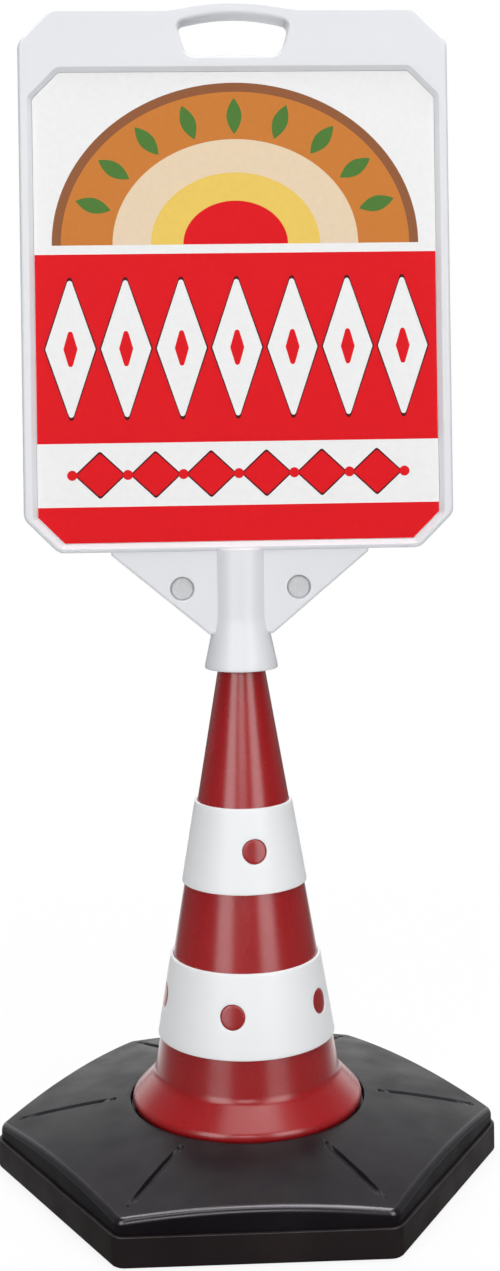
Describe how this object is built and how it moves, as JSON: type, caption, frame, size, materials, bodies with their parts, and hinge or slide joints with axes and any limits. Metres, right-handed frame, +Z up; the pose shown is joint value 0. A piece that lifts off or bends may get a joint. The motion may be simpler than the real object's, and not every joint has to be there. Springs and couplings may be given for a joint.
{
  "type": "cone sign",
  "caption": "Free-standing advertising cone: weighted hexagonal base, hollow red cone with white sleeves, and a double-sided sign head with a hand hole that turns on the cone.",
  "frame": {"origin": "on the floor, in the middle of the base", "axes": "+Z up along the cone's axis; -Y is the way the sign's front faces; two base corners lie on X"},
  "size_m": [0.4954, 0.433, 1.1532],
  "materials": {
    "tray_plastic": "satin moulded",
    "cover_plastic": "satin moulded",
    "sand": "loose grains",
    "zinc_steel": "zinc plated",
    "plug_rubber": "matt",
    "cone_plastic": "gloss moulded",
    "sleeve_plastic": "gloss moulded",
    "bush_plastic": "satin moulded",
    "shell_plastic": "satin moulded",
    "print_board": "printed"
  },
  "bodies": {
    "base": {"base_tray": "tray_plastic", "base_cover": "cover_plastic", "sand_ballast": "sand", "tray_screws": "zinc_steel"},
    "plug": {"fill_plug": "plug_rubber"},
    "cone": {"cone": "cone_plastic", "lower_sleeve": "sleeve_plastic", "upper_sleeve": "sleeve_plastic", "neck_washer": "zinc_steel", "neck_screw": "zinc_steel"},
    "bush": {"swivel_bush": "bush_plastic"},
    "head": {"front_shell": "shell_plastic", "rear_shell": "shell_plastic", "front_print": "print_board", "rear_print": "print_board", "clamp_bolts": "zinc_steel", "clamp_nuts": "zinc_steel"}
  },
  "joints": [
    {"name": "plug_pull", "type": "slide", "parent": "base", "child": "plug", "axis": [0, 0, 1], "range_m": [0, 0.03]},
    {"name": "cone_lift", "type": "slide", "parent": "base", "child": "cone", "axis": [0, 0, 1], "range_m": [0, 0.06]},
    {"name": "sign_turn", "type": "hinge", "parent": "cone", "child": "bush", "pos_m": [0, 0, 0.54], "axis": [0, 0, 1], "continuous": true},
    {"name": "head_lift", "type": "slide", "parent": "bush", "child": "head", "axis": [0, 0, 1], "range_m": [0, 0.11]}
  ]
}
